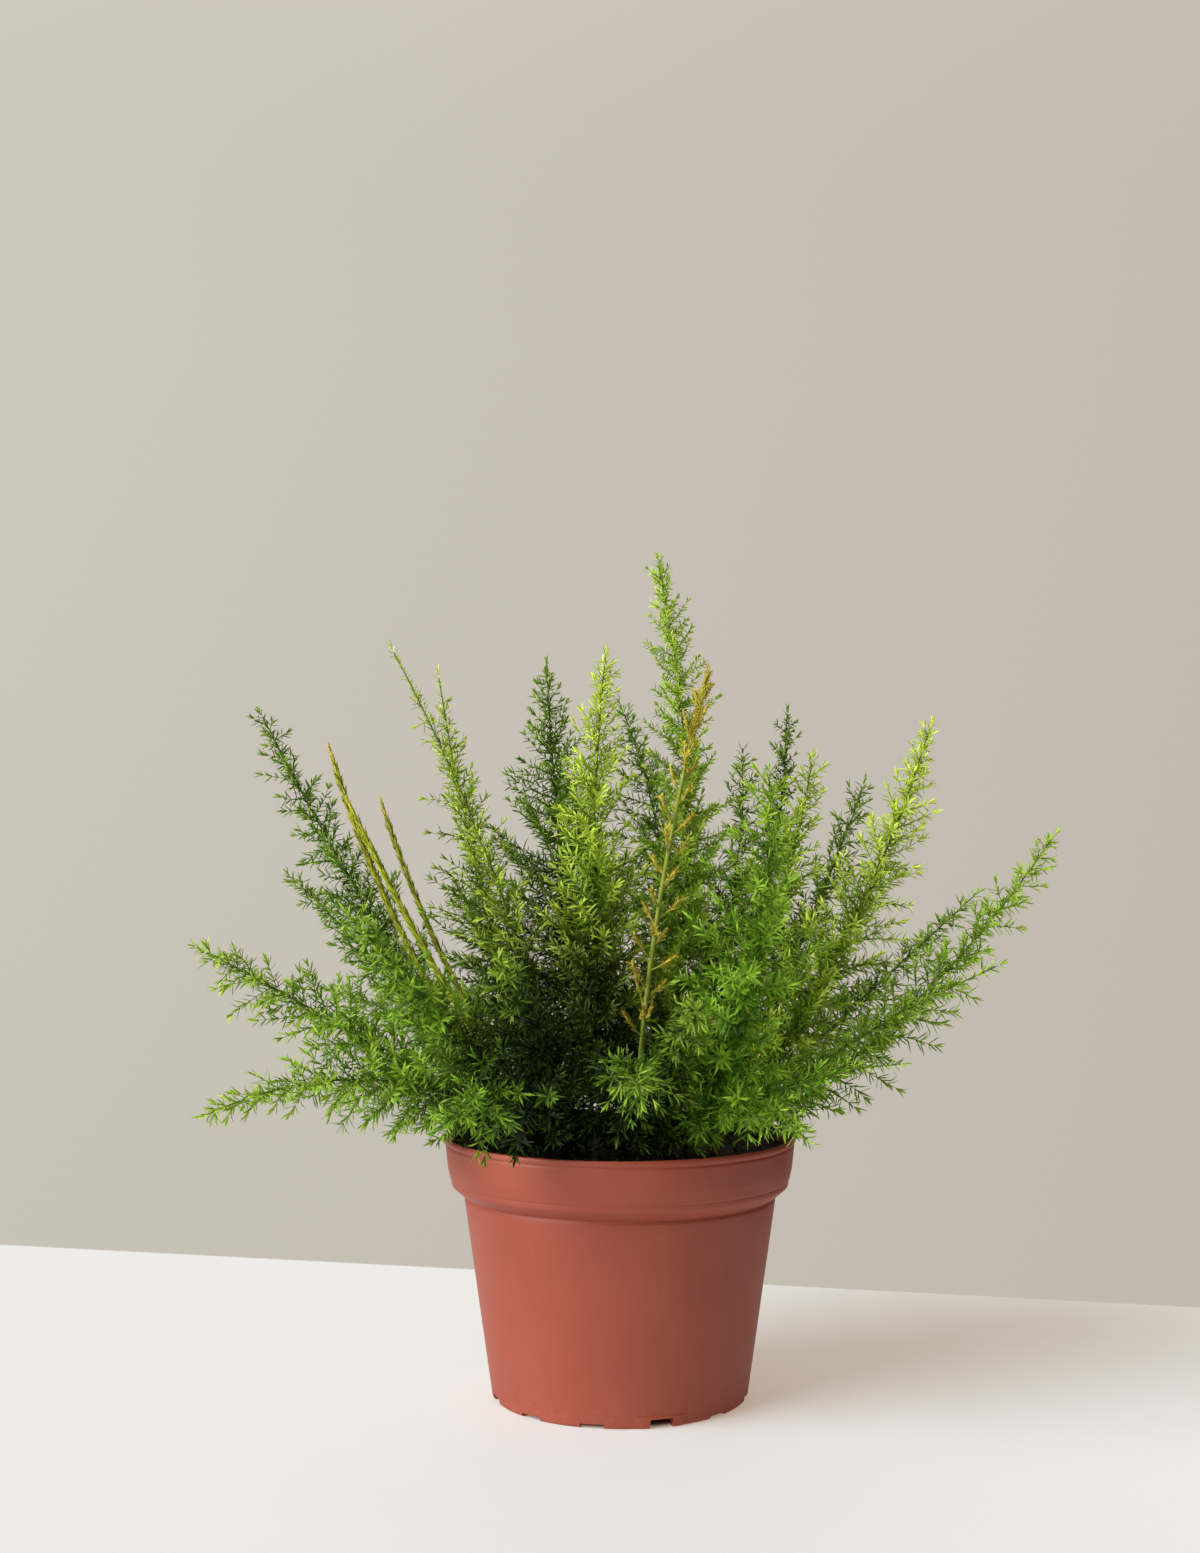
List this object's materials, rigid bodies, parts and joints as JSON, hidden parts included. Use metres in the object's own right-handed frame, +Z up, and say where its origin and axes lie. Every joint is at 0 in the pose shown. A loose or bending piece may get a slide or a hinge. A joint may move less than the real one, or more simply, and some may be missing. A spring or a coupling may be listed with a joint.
{
  "type": "potted foxtail fern",
  "caption": "Foxtail fern with upright and arching feathery fronds, growing in soil in a round terracotta-red plastic nursery pot.",
  "frame": {"origin": "centre of the pot's foot, on the surface that it stands on", "axes": "+Z up along the pot's axis; the plant's best side, as pictured, faces -Y; +X to the right seen from there"},
  "size_m": [0.3918, 0.3233, 0.3872],
  "materials": {
    "plastic_terracotta": "satin",
    "soil_dark": "rough, grainy",
    "green_light": "satin leaf",
    "green_bright": "satin leaf",
    "green_dark": "satin leaf",
    "green_yellow": "satin leaf",
    "green_spring": "satin leaf",
    "green_olive": "satin leaf",
    "green_golden": "satin leaf"
  },
  "bodies": {
    "root": {"pot": "plastic_terracotta", "soil": "soil_dark", "frond_far_left_upper": "green_light", "frond_lower_left": "green_light", "frond_tall_left": "green_dark", "frond_small_left": "green_dark", "frond_front_left": "green_bright", "frond_tall_sparse": "green_yellow", "frond_thin_yellow": "green_yellow", "frond_upright_dark": "green_dark", "frond_centre_light": "green_yellow", "frond_centre_dark": "green_dark", "frond_tallest": "green_light", "frond_small_dark": "green_dark", "frond_thin_dark": "green_dark", "frond_right_centre": "green_bright", "frond_light_behind": "green_yellow", "frond_dark_right": "green_dark", "frond_yellow_right": "green_yellow", "frond_far_right": "green_light", "frond_low_right": "green_light", "frond_low_right_front": "green_bright", "frond_low_left_front": "green_bright", "frond_front_centre": "green_bright", "frond_front_rosette": "green_light", "frond_right_over_rim": "green_bright", "frond_left_rosette": "green_bright", "frond_back_left": "green_dark", "frond_back_left_low": "green_light", "frond_back_upright": "green_light", "frond_back_low": "green_light", "frond_back_right": "green_bright", "frond_back_right_low": "green_light", "frond_back_right_side": "green_bright", "frond_back_left_side": "green_bright", "spear_olive": "green_olive", "spear_yellow": "green_spring", "spear_short": "green_olive", "shoot_golden": "green_golden"}
  },
  "joints": []
}
